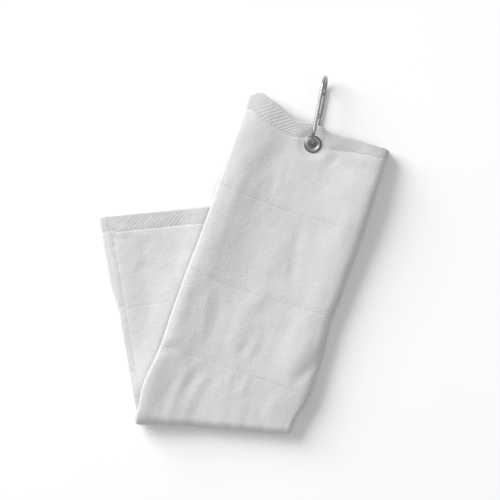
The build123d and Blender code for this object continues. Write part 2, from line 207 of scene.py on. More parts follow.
# ------------------------------------------------------------ wrinkles and drape
# A wrinkle is a bell-shaped ridge (or a valley, when its height is negative) along a line.
# Columns: height, half width, share of the line over which each end tapers, then the
# line's (x, y) points from the towel's middle. Lengths are in mm.
UPPER_WRINKLES = (
    # soft slack below the hem, left of the grommet
    (-0.38, 7.56, 0.35, (42.0, 87.36), (26.04, 80.64), (10.92, 71.4), (0.0, 58.8)),
    (0.35, 3.024, 0.4, (28.56, 72.24), (25.2, 58.8), (21.84, 45.36)),
    (-0.3, 3.36, 0.4, (21.84, 62.16), (17.64, 50.4), (15.12, 38.64)),
    (0.22, 5.88, 0.4, (45.36, 75.6), (40.32, 62.16), (35.28, 47.04)),
    # pucker and slack right of the grommet
    (-0.9, 3.696, 0.4, (60.48, 68.88), (68.04, 74.76), (77.28, 78.96)),
    (-0.45, 3.528, 0.35, (63.84, 85.68), (79.8, 83.16), (98.28, 78.96)),
    (0.25, 3.36, 0.4, (70.56, 75.6), (84.0, 75.6), (99.12, 71.4)),
    (-0.4, 6.72, 0.4, (62.16, 63.84), (58.8, 53.76), (53.76, 42.0)),
    (0.8, 9.24, 0.35, (85.68, 68.88), (80.64, 53.76), (72.24, 35.28)),
    (-0.3, 2.856, 0.4, (87.36, 65.52), (97.44, 68.04), (109.2, 65.52)),
    # centre trough, above and below the first band
    (-0.22, 4.2, 0.4, (50.4, 53.76), (45.36, 42.0), (42.0, 30.24)),
    (-0.5, 5.04, 0.3, (43.68, 30.24), (41.16, 10.08), (36.96, -10.08), (31.92, -36.96)),
    (0.6, 8.4, 0.35, (31.92, 18.48), (23.52, -1.68), (11.76, -25.2)),
    (0.35, 8.4, 0.4, (84.0, 28.56), (75.6, 11.76), (67.2, -10.08)),
    # small tick above the second band
    (0.3, 1.848, 0.45, (31.08, -10.08), (29.4, -16.8), (28.56, -23.52)),
    # long streaks below the second band, on the left
    (-0.5, 4.62, 0.35, (-43.68, -28.56), (-47.88, -47.04), (-52.08, -68.88)),
    (0.4, 3.024, 0.35, (-33.6, -28.56), (-36.96, -47.04), (-40.32, -73.92)),
    (-0.32, 4.62, 0.35, (-24.36, -28.56), (-26.88, -48.72), (-32.76, -75.6)),
    # puffed fold between the second and third bands
    (1.0, 7.56, 0.25, (21.84, -43.68), (10.08, -40.32), (-0.84, -45.36),
     (-7.56, -60.48), (-13.44, -77.28), (-17.64, -90.72)),
    (0.5, 3.528, 0.4, (7.56, -72.24), (1.68, -84.0), (-5.04, -95.76)),
    (-0.7, 3.36, 0.45, (-2.52, -76.44), (-6.72, -84.0), (-11.76, -89.88)),
    (-0.45, 4.62, 0.4, (16.8, -60.48), (11.76, -77.28), (3.36, -94.08)),
    (1.1, 7.98, 0.3, (48.72, -45.36), (42.84, -63.84), (33.6, -84.0), (22.68, -102.48)),
    # crease at the right edge that runs down to the left
    (-1.35, 5.04, 0.3, (70.56, -74.76), (61.32, -86.52), (51.24, -97.44),
     (41.16, -107.52), (31.92, -115.92)),
    (0.9, 6.3, 0.3, (53.76, -65.52), (45.36, -81.48), (34.44, -95.76), (24.36, -107.52)),
    (-0.9, 6.72, 0.35, (69.72, -87.36), (63.0, -100.8), (55.44, -113.4), (47.88, -126.0)),
    # finger folds that start below the third band and run over the half fold
    (0.42, 3.696, 0.3, (-43.68, -92.4), (-52.92, -103.32), (-59.64, -115.08),
     (-65.52, -132.72), (-68.88, -149.52)),
    (-0.26, 3.36, 0.35, (-40.32, -99.96), (-48.72, -109.2), (-55.44, -120.96)),
    (0.32, 3.528, 0.35, (-31.92, -100.8), (-41.16, -112.56), (-48.72, -122.64),
     (-53.76, -137.76)),
    (-0.4, 4.2, 0.3, (-23.52, -98.28), (-32.76, -110.04), (-41.16, -121.8),
     (-47.88, -137.76), (-50.4, -159.6)),
    (0.28, 3.192, 0.4, (-21.0, -105.84), (-26.88, -115.92), (-31.92, -127.68)),
    (0.34, 5.04, 0.3, (-13.44, -105.84), (-18.48, -117.6), (-25.2, -134.4), (-27.72, -159.6)),
    (-0.3, 2.688, 0.4, (-8.4, -102.48), (-13.44, -112.56), (-16.8, -122.64)),
    (0.5, 3.192, 0.35, (0.0, -102.48), (-5.04, -113.4), (-9.24, -124.32)),
    (-0.4, 4.2, 0.3, (5.88, -112.56), (0.0, -127.68), (-4.2, -149.52), (-5.88, -162.96)),
    (0.4, 5.88, 0.35, (25.2, -117.6), (16.8, -132.72), (11.76, -147.84)),
    (-0.4, 4.2, 0.35, (-58.8, -100.8), (-67.2, -114.24), (-75.6, -132.72)),
    (0.35, 3.36, 0.35, (-73.92, -124.32), (-78.96, -137.76), (-82.32, -156.24)),
    # crease that pinches the left edge
    (-0.55, 3.024, 0.4, (-84.0, -92.4), (-76.44, -85.68), (-67.2, -81.48), (-57.12, -82.32)),
    (0.3, 3.36, 0.4, (-75.6, -75.6), (-65.52, -72.24), (-53.76, -74.76)),
)
LOWER_WRINKLES = (
    (-0.4, 1.848, 0.4, (-120.96, 21.84), (-115.92, 16.8), (-109.2, 15.12)),
    (-0.45, 2.016, 0.4, (-120.12, 13.44), (-114.24, 10.08), (-105.84, 8.4)),
    (-0.3, 1.848, 0.4, (-119.28, 3.36), (-112.56, 3.36), (-107.52, 0.0)),
    (-0.4, 3.36, 0.4, (-115.92, 8.4), (-104.16, 10.08), (-92.4, 8.4)),
    (-0.5, 9.24, 0.3, (-84.0, 23.52), (-89.04, -10.08), (-84.0, -67.2)),
    (0.5, 7.56, 0.4, (-62.16, 21.84), (-72.24, -10.08), (-84.0, -42.0)),
    (0.25, 3.36, 0.4, (-84.0, -6.72), (-92.4, -10.08), (-102.48, -10.08)),
)
# A net is its places across the upper arm (columns), its distances from the arm's end
# (rows) and the value in mm at each crossing.
# Height of the upper arm's panel over the flat stack.
DRAPE_NET = (
    (-63, -57, -48, -38, -26, -14, 0, 14, 26, 38, 48, 56, 60, 63),
    (0, 14, 36, 62, 96, 130, 160, 190, 215, 240, 262),
    (
        (-1.4, 0.2, 1.5, 1.5, 0.5, 0.0, 0.0, 0.0, -0.1, 0.0, 0.0, -0.6, -1.6, -3.1),
        (-0.8, 0.8, 2.0, 1.7, 0.6, 0.0, 0.0, 0.0, 0.0, 0.7, 1.2, 0.8, -0.3, -2.6),
        (0.7, 2.1, 2.8, 1.8, 0.3, -0.3, 0.0, -0.1, 0.6, 1.9, 3.3, 3.6, 2.5, -0.2),
        (1.2, 2.6, 3.0, 1.6, 0.0, -0.9, -0.8, -0.6, 0.3, 1.8, 3.2, 3.3, 2.0, -0.9),
        (1.6, 3.0, 3.1, 1.5, -0.6, -1.7, -1.7, -1.8, -1.2, 0.2, 1.5, 1.3, -0.3, -3.3),
        (1.6, 3.2, 3.0, 1.2, -0.8, -1.8, -1.7, -1.9, -1.5, -0.3, 0.7, 0.4, -1.3, -4.1),
        (2.3, 3.6, 2.85, 1.0, -0.7, -1.1, -1.0, -1.5, -1.4, -0.8, 0.1, -0.3, -1.9, -4.5),
        (2.3, 3.6, 2.75, 1.0, -0.5, -0.6, -0.4, -1.0, -1.2, -0.4, 0.8, 0.0, -1.6, -4.0),
        (2.5, 3.5, 2.5, 0.9, -0.3, -0.6, -0.1, -0.3, -0.5, -0.2, -0.2, -0.8, -1.7, -3.2),
        (3.2, 3.4, 2.0, 0.6, -0.5, -0.9, -0.8, -0.8, -0.9, -1.0, -1.3, -1.7, -1.9, -2.3),
        (2.8, 2.7, 1.4, 0.3, -0.7, -1.1, -1.2, -1.2, -1.2, -1.2, -1.2, -1.2, -1.2, -1.2),
    ),
)
# How far the cloth has crept towards the half fold.
CREEP_NET = (
    (-63, -45, -6, 20, 45, 63),
    (0, 14, 71, 143, 213, 262),
    (
        (0.0, 0.0, 0.0, 0.0, 0.0, 0.0),
        (0.0, 0.0, 0.0, 0.0, 0.0, 0.0),
        (1.6, 2.0, 3.0, 2.2, 0.4, -0.5),
        (2.5, 5.6, 5.8, 4.9, 3.0, 1.5),
        (1.8, 1.6, 1.0, 0.9, 1.0, 1.4),
        (0.0, 0.0, 0.0, 0.0, 0.0, 0.0),
    ),
)


def wrinkle(x, y, height, half_width, taper, *points):
    """Height of one wrinkle at places measured from the towel's middle."""
    points = np.array(points, float)
    lengths = np.linalg.norm(np.diff(points, axis=0), axis=1)
    nearest = np.full(x.shape, 1e9)
    along = np.zeros(x.shape)
    passed = 0.0
    for start, stop, length in zip(points[:-1], points[1:], lengths):
        step_x, step_y = stop - start
        t = np.clip(((x - start[0]) * step_x + (y - start[1]) * step_y) / length**2, 0, 1)
        distance = np.hypot(x - start[0] - t * step_x, y - start[1] - t * step_y)
        closer = distance < nearest
        nearest = np.where(closer, distance, nearest)
        along = np.where(closer, passed + t * length, along)
        passed += length
    share = along / passed
    ends = ease(share, -0.02, taper) * fade(share, 1 - taper, 1.02)
    return height * ends * np.exp(-((nearest / half_width) ** 2))


def wrinkles(table, x, y):
    """Summed height of a table of wrinkles."""
    x, y = x - TOWEL_MIDDLE[0], y - TOWEL_MIDDLE[1]
    return sum(wrinkle(x, y, *line) for line in table)


def spline_weights(stations, value):
    """Catmull-Rom weights of every station for each value."""
    stations = np.asarray(stations, float)
    last = len(stations) - 1
    value = np.clip(value, stations[0], stations[-1])
    low = np.clip(np.searchsorted(stations, value, side="right") - 1, 0, last - 1)
    gap = stations[low + 1] - stations[low]
    t = (value - stations[low]) / gap
    weights = np.zeros((len(value), last + 1))
    item = np.arange(len(value))
    weights[item, low] += 2 * t**3 - 3 * t**2 + 1
    weights[item, low + 1] += -2 * t**3 + 3 * t**2
    for station, slope_share in ((low, t**3 - 2 * t**2 + t), (low + 1, t**3 - t**2)):
        before, after = np.maximum(station - 1, 0), np.minimum(station + 1, last)
        weight = slope_share * gap / (stations[after] - stations[before])
        weights[item, after] += weight
        weights[item, before] -= weight
    return weights


def on_net(net, across, down):
    """Smooth value of a net at places across the arm and down from its end."""
    columns, rows, values = net
    return np.einsum("ij,jk,ik->i", spline_weights(rows, down), np.array(values),
                     spline_weights(columns, across))


def beyond_lower(x, y):
    """How far a place lies outside the lower arm's footprint; 0 inside."""
    x, y = x - FOLD_MIDDLE[0], y - FOLD_MIDDLE[1]
    away = x * LOWER_AWAY[0] + y * LOWER_AWAY[1]
    across = x * LOWER_ACROSS[0] + y * LOWER_ACROSS[1]
    return np.hypot(np.maximum(np.abs(across) - HALF_WIDTH, 0),
                    np.maximum(away - LOWER_ARM.length, 0))


def fold_distance(across, down):
    """Distance along the upper arm from a place to the slanted half fold."""
    return UPPER_ARM.length - across * SLANT - down


def upper_fields(across, down, x, y):
    """For the upper arm: sag of the whole stack and extra height of the panel."""
    from_hole = np.hypot(x - HOLE[0], y - HOLE[1])
    beyond = beyond_lower(x, y)
    to_fold = fold_distance(across, down)
    # unsupported cloth drops to the floor, except near the grommet and the half fold
    drop = -8.3 * ease(beyond, 2, 34) * ease(from_hole, 20, 60) * ease(to_fold, 2, 26)
    top = on_net(DRAPE_NET, across, down) * ease(from_hole, 9.0, 30.0)
    # the stack lies as low as it can, but never above the panel's own drape
    sag = np.minimum(drop, np.minimum(top, 0.0))
    lowest = -1.3 - 7.0 * ease(beyond, 0, 26)
    sag = np.maximum(sag, lowest)
    # the left folded edge rides up on the lower arm
    sag = sag + 1.5 * ease(-across, 40, 61) * ease(to_fold, 4, 40) * fade(beyond, 0, 12)
    rough = wrinkles(UPPER_WRINKLES, x, y)
    # broad and fine unevenness, then ripples close to the half fold
    rough += 0.30 * layered_noise(across, down * 0.42, size=24, seed=11) * ease(down, 4, 30)
    rough += 0.10 * layered_noise(across, down * 0.7, size=9, seed=31)
    ripple = noise(across + 0.25 * down, down * 0.30, size=10, seed=61)
    rough += 0.30 * ripple * ease(down, 196, 226)
    lift = top - sag + rough * ease(from_hole, 8.5, 26)
    # the layers can only be pressed so far together: a soft floor under the lift
    press, softness = 0.9, 0.25
    return sag, -press + 0.5 * ((lift + press) + np.sqrt((lift + press) ** 2 + softness))


def upper_shift(across, down):
    """In-plane shift of the upper arm, across it and towards the half fold."""
    to_fold = fold_distance(across, down)
    near = ease(to_fold, 2, 26)
    # right edge bulges, more so low down; left edge bulges next to the half fold
    sideways = 2.0 * ease(across, 0, 63) * ease(down, 20, 70) * near
    sideways += 3.6 * ease(across, 10, 63) * ease(down, 148, 186) * ease(to_fold, 0, 42)
    sideways -= 2.4 * ease(-across, 10, 63) * ease(down, 215, 250) * near
    # both edges wander
    wander = noise(down, 3.3, size=30, seed=5)
    sideways += 0.5 * wander * ease(np.abs(across), 30, 63) * near
    creep = on_net(CREEP_NET, across, down) * near
    # left corner of the end reaches out
    creep -= 6.2 * ease(across, -66, -52) * fade(across, -44, -22) * fade(down, 12, 44)
    creep -= 5.0 * fade(across, -60, -40) * fade(down, 10, 60)
    # the middle of the end is drawn in, except on its centre line
    off_centre = ease(np.abs(across + 2.0), 4, 14)
    creep += 2.0 * ease(across, -28, -16) * fade(across, 6, 40) * fade(down, 5, 30) * off_centre
    # right part of the end reaches out
    creep -= 1.4 * ease(across, 40, 63) * fade(down, 5, 30)
    # both end corners are rounded
    creep += 2.2 * ease(across, 56.5, 64.0) ** 2 * fade(down, 0, 9)
    creep += 2.0 * ease(-across, 56.5, 64.0) ** 2 * fade(down, 0, 9)
    # the end's edge is uneven
    creep += 0.45 * noise(across, 9.1, size=11, seed=77) * fade(down, 4, 22)
    return sideways, creep


def lower_lift(across, away, x, y):
    """For the lower arm: extra height of the outer flap, its top layer."""
    rough = wrinkles(LOWER_WRINKLES, x, y)
    rough += 0.3 * layered_noise(across, away * 0.7, size=24, seed=71)
    rough += 0.18 * layered_noise(across, away, size=8, seed=91)
    # distance out from the upper arm's left edge
    out = -64.0 - ((x - FOLD_MIDDLE[0]) * UPPER_ACROSS[0]
                   + (y - FOLD_MIDDLE[1]) * UPPER_ACROSS[1])
    shown = ease(out, -8, 2)
    loft = 0.7 * fade(np.abs(across), 46, 64) * shown
    loft -= 0.9 * ease(-across, 52, 63.5)
    # the flap rises towards the upper arm's edge, less so far from the half fold
    rise = 3.5 * np.exp(-((np.maximum(out, 0) / 12.5) ** 2)) * ease(out, -7, 0)
    rise = rise * ease(away, 14, 50) * (1 - 0.45 * ease(away, 118, 172))
    return (loft + rough * (0.15 + 0.85 * shown)) * ease(away, 2, 24) + rise


def hem_taper(across, down):
    """Draws the end hem in towards its right end and widens it left of the grommet."""
    amount = 4.8 * ease(across, 12, 54) - 3.2 * ease(across, -64, -46) * fade(across, -34, -13)
    return down - amount * np.clip(down / HEM, 0, 1) * fade(down, HEM, HEM + 30)


# ------------------------------------------------------ from the section to space
# Each function takes the middle line's across and level, those of the surface point,
# and the point's place along its region.
def panel_share(level):
    """0 at the outer flap's level, 1 at the panel's."""
    return ease(level, OUTER_LEVEL, PANEL_LEVEL)


def place_upper(mid_across, mid_level, across, level, down):
    down = hem_taper(mid_across, down)
    sideways, creep = upper_shift(mid_across, down)
    away = UPPER_ARM.length - (down + creep)
    places = (FOLD_MIDDLE + UPPER_ACROSS * (across + sideways)[:, None]
              + UPPER_AWAY * away[:, None])
    sag, lift = upper_fields(mid_across, down, places[:, 0], places[:, 1])
    z = UPPER_Z + level + sag + panel_share(mid_level) * lift
    # cloth is parted round the barrel and squeezed under the flange
    from_hole = places[:, :2] - HOLE[:2]
    distance = np.maximum(np.hypot(from_hole[:, 0], from_hole[:, 1]), 1e-6)
    parted = np.where(distance < 10.0, 5.6 + 0.44 * distance, distance)
    places[:, :2] = HOLE[:2] + from_hole / distance[:, None] * parted[:, None]
    squeeze = 1 - 0.40 * fade(parted, 6.8, 15.0)
    places[:, 2] = HOLE[2] + (z - HOLE[2]) * squeeze
    return places


def place_bend(mid_across, mid_level, across, level, turn):
    angle = turn * math.pi
    ripple = 0.25 * noise(across, 1.7, size=9, seed=17) * np.sin(angle) * (level / STACK)
    crease = FOLD_MIDDLE + FOLD_ACROSS * (mid_across / math.cos(HALF_ANGLE))[:, None]
    at_fold = UPPER_ARM.length - mid_across * SLANT
    sag, lift = upper_fields(mid_across, at_fold, crease[:, 0], crease[:, 1])
    # the upper arm's drape dies out round the bend
    radius = HALF_GAP + level
    radius = radius + (sag + panel_share(mid_level) * lift) * np.cos(angle / 2) ** 2
    places = FOLD_MIDDLE + FOLD_ACROSS * (across / math.cos(HALF_ANGLE))[:, None]
    places = places - FOLD_AWAY * (np.sin(angle) * (radius + ripple))[:, None]
    places[:, 2] = HINGE[2] + np.cos(angle) * radius
    return places


def place_lower(mid_across, mid_level, across, level, down):
    away = LOWER_ARM.length - down
    # the layers under the flap stick out on the left
    under = ease(mid_level, 2.0, 4.0) * ease(-mid_across, 30, 61)
    across = across - 3.2 * under * ease(away, 95, 135) * (1 - ease(away, 176, 190) * 0.5)
    # the end is cut back towards the right
    away = away - 0.075 * (np.clip(mid_across, -63, 30) + 63) * ease(away, 70, 178)
    places = FOLD_MIDDLE + LOWER_ACROSS * across[:, None] + LOWER_AWAY * away[:, None]
    lift = lower_lift(mid_across, away, places[:, 0], places[:, 1])
    places[:, 2] = STACK - level + (1 - panel_share(mid_level)) * lift
    return places


def place(run, off, region, along):
    """Places (mm) of cloth points.

    `along` is the distance from the arm's end, or 0 to 1 round the bend."""
    run, off, region, along = np.broadcast_arrays(run, off, region, along)
    mid_across, mid_level, out_across, out_level = section(run)
    across, level = mid_across + out_across * off, mid_level + out_level * off
    places = np.zeros(run.shape + (3,))
    for which, put in ((UPPER, place_upper), (BEND, place_bend), (LOWER, place_lower)):
        here = region == which
        if here.any():
            places[here] = put(mid_across[here], mid_level[here],
                               across[here], level[here], along[here])
    return places


# ------------------------------------------------------------- rows and columns
BAND_ROWS = (-2.7, -2.1, -1.5, 0.0, 1.5, 2.1, 2.7)  # rows kept about a band's middle
BEND_ROWS = 14


def arm_rows(arm, pitch, first_row):
    """Distances of the rows from the arm's end, the fold last."""
    marks = [HEM - 0.4]
    for band in arm.bands:
        marks += [band + step for step in BAND_ROWS]
    marks += [*arm.extra_rows, arm.length]
    rows = [] if first_row is None else [first_row]
    for start, stop in zip(marks, marks[1:]):
        count = max(1, round((stop - start) / pitch))
        rows += [start + (stop - start) * k / count for k in range(count)]
    return rows + [marks[-1]]


def sweep_strip(loop_run, loop_off, pitch, first_row=None, thin=0.0):
    """Sweeps a closed loop of section points down the whole strip.

    Returns the places by row, the upper arm's share of each vertex and each row's region."""
    across = section(loop_run)[0]
    size = len(loop_run)

    def arm_stations(arm, upper_share):
        stations = []
        for down in arm_rows(arm, pitch, first_row):
            slant = max(0.0, (down - arm.slant_from) / (arm.length - arm.slant_from))
            along = down + arm.slant_sign * across * SLANT * slant
            dip = max(fade(abs(down - band), 1.5, 2.3) for band in arm.bands)
            off = loop_off - arm.recess * dip * (loop_off > 0.5)
            off = off * (1 - thin * fade(down, HEM - 0.6, HEM + 3.2))
            stations.append((arm.region, along, off, upper_share))
        return stations

    turns = [k / BEND_ROWS for k in range(1, BEND_ROWS)]
    stations = arm_stations(UPPER_ARM, 1.0)
    stations += [(BEND, np.full(size, turn), loop_off, 1.0 - turn) for turn in turns]
    stations += arm_stations(LOWER_ARM, 0.0)[::-1]
    region, along, off, share = (np.array(column) for column in zip(*stations))
    return place(loop_run, off, region[:, None], along), np.repeat(share, size), region


def layer_columns(outer_step, panel_step, inner_step, first, start=0.0, stop=RUN_END):
    """Runs across the section: even steps from the middle of each layer."""
    def spread(low, high, step):
        right = np.append(np.arange(first, high - step * 0.6, step), high)
        left = np.append(np.arange(first, -low - step * 0.6, step), -low)
        return np.concatenate([-left[::-1], right])

    run = np.concatenate([
        run_at("outer", spread(OUTER_EDGE, BIG_FOLD, outer_step)),
        OUTER_END + (BIG_END - OUTER_END) * np.arange(1, 9) / 9,
        run_at("panel", spread(SMALL_FOLD, BIG_FOLD, panel_step)[::-1]),
        PANEL_END + (SMALL_END - PANEL_END) * np.arange(1, 7) / 7,
        run_at("inner", spread(SMALL_FOLD, INNER_EDGE, inner_step)),
    ])
    run = run[(run > start + 0.2) & (run < stop - 0.2)]
    return np.concatenate([[start], run, [stop]])


# ----------------------------------------------------------------- mesh helpers
def new_object(name, places, faces, material):
    """Smooth-shaded mesh object from places in mm."""
    mesh = bpy.data.meshes.new(name)
    mesh.from_pydata([tuple(p) for p in places.reshape(-1, 3) * MM], [], faces)
    mesh.validate()
    mesh.update()
    bm = bmesh.new()
    bm.from_mesh(mesh)
    bmesh.ops.recalc_face_normals(bm, faces=bm.faces)
    bm.to_mesh(mesh)
    bm.free()
    for polygon in mesh.polygons:
        polygon.use_smooth = True
    mesh.materials.append(material)
    obj = bpy.data.objects.new(name, mesh)
    bpy.context.scene.collection.objects.link(obj)
    return obj


def tube_faces(count, size):
    """Quads between `count` closed rings of `size` points."""
    faces = []
    for ring in range(0, (count - 1) * size, size):
        after = ring + size
        for i in range(size):
            j = (i + 1) % size
            faces.append((ring + i, ring + j, after + j, after + i))
    return faces


def end_caps(count, size):
    """One polygon over each end of a tube."""
    return [tuple(range(size)), tuple(range((count - 1) * size, count * size))[::-1]]


def sheet_caps(count, size):
    """Quads over each end of a tube, joining the ring's two halves."""
    return [
        (ring + i, ring + i + 1, ring + size - 2 - i, ring + size - 1 - i)
        for ring in (0, (count - 1) * size) for i in range(size // 2 - 1)
    ]


def joined_object(name, tubes, faces, material):
    """One object from tubes that all have the same faces."""
    size = tubes[0].size // 3
    all_faces = [tuple(k * size + i for i in face) for k in range(len(tubes)) for face in faces]
    return new_object(name, np.concatenate([t.reshape(-1, 3) for t in tubes]),
                      all_faces, material)


def stand_for(obj, *parts):
    """Hides the CAD parts that an object stands in for."""
    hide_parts(*parts)


def ride_arm(obj, arm, part):
    """Fixes an object to an arm, in place of a CAD part."""
    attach(obj, f"{arm.name}_half")
    stand_for(obj, part)


def blend_halves(obj, upper_share):
    """Makes a piece that crosses the half fold turn with it: 1 follows the upper arm."""
    reach = np.array([0, 0, 0.009])
    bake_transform(obj, "lower_half", "upper_half", start=tuple(HINGE * MM - reach),
             end=tuple(HINGE * MM + reach))
    values = obj.data.attributes["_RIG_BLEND"].data
    values.foreach_set("value", upper_share.astype(np.float32))


# -------------------------------------------------------------------- materials
class Surface:
    """A grey Principled material and the nodes that vary it."""

    def __init__(self, name, tone, roughness, metallic=0.0):
        self.material = bpy.data.materials.new(name)
        self.material.use_nodes = True
        self.tree = self.material.node_tree
        self.inputs = self.tree.nodes["Principled BSDF"].inputs
        self.inputs["Base Color"].default_value = (tone, tone, tone, 1)
        self.inputs["Roughness"].default_value = roughness
        self.inputs["Metallic"].default_value = metallic

    def feed(self, target, value):
        """Links a socket to an input, or sets the input to a plain value."""
        if isinstance(value, bpy.types.NodeSocket):
            self.tree.links.new(value, target)
        else:
            target.default_value = value

    def node(self, kind, **inputs):
        node = self.tree.nodes.new("ShaderNode" + kind)
        for name, value in inputs.items():
            self.feed(node.inputs[name.title()], value)
        return node

    def place(self):
        return self.node("TexCoord").outputs["Object"]

    def coords(self, scale=(1, 1, 1), angle=0.0):
        mapping = self.node("Mapping", scale=scale, rotation=(0, 0, angle), vector=self.place())
        return mapping.outputs["Vector"]

    def noise(self, vector, scale, detail, roughness=0.55):
        node = self.node("TexNoise", scale=scale, detail=detail, roughness=roughness,
                         vector=vector)
        return node.outputs["Fac"]

    def math(self, operation, first, second):
        node = self.node("Math")
        node.operation = operation
        self.feed(node.inputs[0], first)
        self.feed(node.inputs[1], second)
        return node.outputs[0]

    def add(self, first, second):
        return self.math("ADD", first, second)

    def times(self, value, factor):
        return self.math("MULTIPLY", value, factor)

    def ramp(self, factor, *stops):
        """Grey colour ramp; a stop is its position and tone."""
        node = self.node("ValToRGB")
        elements = node.color_ramp.elements
        while len(elements) < len(stops):
            elements.new(0.5)
        for element, (position, tone) in zip(elements, stops):
            element.position = position
            element.color = (tone, tone, tone, 1)
        self.feed(node.inputs["Fac"], factor)
        return node.outputs["Color"]

    def shade(self, name, socket):
        self.feed(self.inputs[name], socket)

    def bump(self, height, strength, distance):
        node = self.node("Bump", strength=strength, distance=distance, height=height)
        self.shade("Normal", node.outputs["Normal"])

    def sheen(self, weight, roughness):
        self.inputs["Sheen Weight"].default_value = weight
        self.inputs["Sheen Roughness"].default_value = roughness
        self.inputs["Sheen Tint"].default_value = (1, 1, 1, 1)
        self.inputs["Specular IOR Level"].default_value = 0.12


WHITE = 0.60  # tone of the cloth


def velour():
    """Cut pile: fine speckle, with pile and tufts lying along the upper arm."""
    cloth = Surface("velour", WHITE, roughness=0.92)
    vector = cloth.coords()
    broad = cloth.noise(vector, scale=55.0, detail=3.0)
    fine = cloth.noise(vector, scale=620.0, detail=2.0, roughness=0.65)
    lean = math.radians(UPPER_DEG)
    pile = cloth.noise(cloth.coords((1.0, 0.45, 1.0), lean), scale=1500.0, detail=1.0)
    tuft = cloth.noise(cloth.coords((1.0, 1.35, 1.0), lean), scale=230.0, detail=2.0)
    mix = cloth.add(cloth.times(broad, 0.5), cloth.times(fine, 0.5))
    cloth.shade("Base Color", cloth.ramp(
        mix, (0.30, WHITE * 0.93), (0.52, WHITE), (0.72, WHITE * 1.05)))
    height = cloth.add(cloth.times(fine, 0.7), cloth.times(pile, 0.5))
    height = cloth.add(height, cloth.times(tuft, 0.9))
    cloth.bump(height, strength=0.55, distance=0.0005)
    cloth.sheen(weight=0.25, roughness=0.6)
    return cloth.material


def twill():
    """Flat weave with slanted yarns."""
    cloth = Surface("twill_hem", WHITE, roughness=0.85)
    vector = cloth.coords()
    broad = cloth.noise(vector, scale=80.0, detail=2.0)
    yarn = cloth.node("TexWave", scale=520.0, distortion=1.2,
                      vector=cloth.coords(angle=math.radians(40)))
    cloth.shade("Base Color", cloth.ramp(broad, (0.3, WHITE * 0.90), (0.7, WHITE)))
    grain = cloth.noise(vector, scale=900.0, detail=1.0)
    height = cloth.add(cloth.times(yarn.outputs["Fac"], 0.35), grain)
    cloth.bump(height, strength=0.4, distance=0.00025)
    cloth.sheen(weight=0.12, roughness=0.5)
    return cloth.material


def cotton(name, tone, scale, strength=0.35):
    """Plain cotton; scale is the grain's and strength the bump's."""
    cloth = Surface(name, tone, roughness=0.8)
    grain = cloth.noise(cloth.coords(), scale=scale, detail=2.0)
    cloth.shade("Base Color", cloth.ramp(grain, (0.3, tone * 0.92), (0.7, tone * 1.05)))
    cloth.bump(grain, strength=strength, distance=0.0002)
    cloth.sheen(weight=0.15, roughness=0.5)
    return cloth.material


def finish_metal(metal, cloud, base_roughness, scratch):
    """Fine scratches in the roughness, and a faint cloudy bump."""
    fine = metal.noise(metal.coords((1, 1, 6)), scale=1500.0, detail=2.0)
    metal.shade("Roughness", metal.add(base_roughness, metal.times(fine, scratch)))
    metal.bump(cloud, strength=0.04, distance=0.0001)
    return metal.material


def steel(name, tone, roughness, scratch):
    metal = Surface(name, tone, roughness, metallic=1.0)
    cloud = metal.noise(metal.coords(), scale=260.0, detail=3.0)
    metal.shade("Base Color", metal.ramp(cloud, (0.3, tone * 0.86), (0.65, tone * 1.04)))
    return finish_metal(metal, cloud, roughness - scratch / 2, scratch)


def nickel_with_painted_shade():
    """Nickel with painted light and shade: light and dull inside the barrel as painted light, darkening out
    to the flange's rim as painted shade.
    """
    metal = Surface("nickel_painted_light_and_shade", 0.3, roughness=0.34, metallic=1.0)
    cloud = metal.noise(metal.coords(), scale=260.0, detail=3.0)
    # distance from the hole's axis
    socket = metal.place()
    for operation, value, output in (
        ("SUBTRACT", (HOLE[0] * MM, HOLE[1] * MM, 0), "Vector"),
        ("MULTIPLY", (1, 1, 0), "Vector"),
        ("LENGTH", None, "Value"),
    ):
        node = metal.node("VectorMath")
        node.operation = operation
        metal.feed(node.inputs[0], socket)
        if value:
            node.inputs[1].default_value = value
        socket = node.outputs[output]
    rim_radius = 0.008
    far = metal.add(metal.math("DIVIDE", socket, rim_radius), metal.times(cloud, 0.04))
    # painted light inside the barrel, turning to painted shade towards the flange's rim
    metal.shade("Base Color", metal.ramp(far, (0.47, 0.62), (0.60, 0.44), (0.74, 0.27),
                                         (0.90, 0.17)))
    metal.shade("Metallic", metal.ramp(far, (0.46, 0.1), (0.54, 1.0)))
    return finish_metal(metal, cloud, base_roughness=0.32, scratch=0.05)


VELOUR = velour()
TWILL = twill()
BAND = cotton("woven_band", tone=WHITE * 0.98, scale=700.0)
TURNED_HEM = cotton("turned_hem", tone=WHITE * 0.99, scale=420.0, strength=0.5)
THREAD = cotton("stitch_thread", tone=WHITE * 1.03, scale=1600.0)
NICKEL_PAINTED_SHADE = nickel_with_painted_shade()
STEEL = steel("hook_steel", tone=0.40, roughness=0.34, scratch=0.03)
PIN = steel("pin_steel", tone=0.62, roughness=0.3, scratch=0.08)


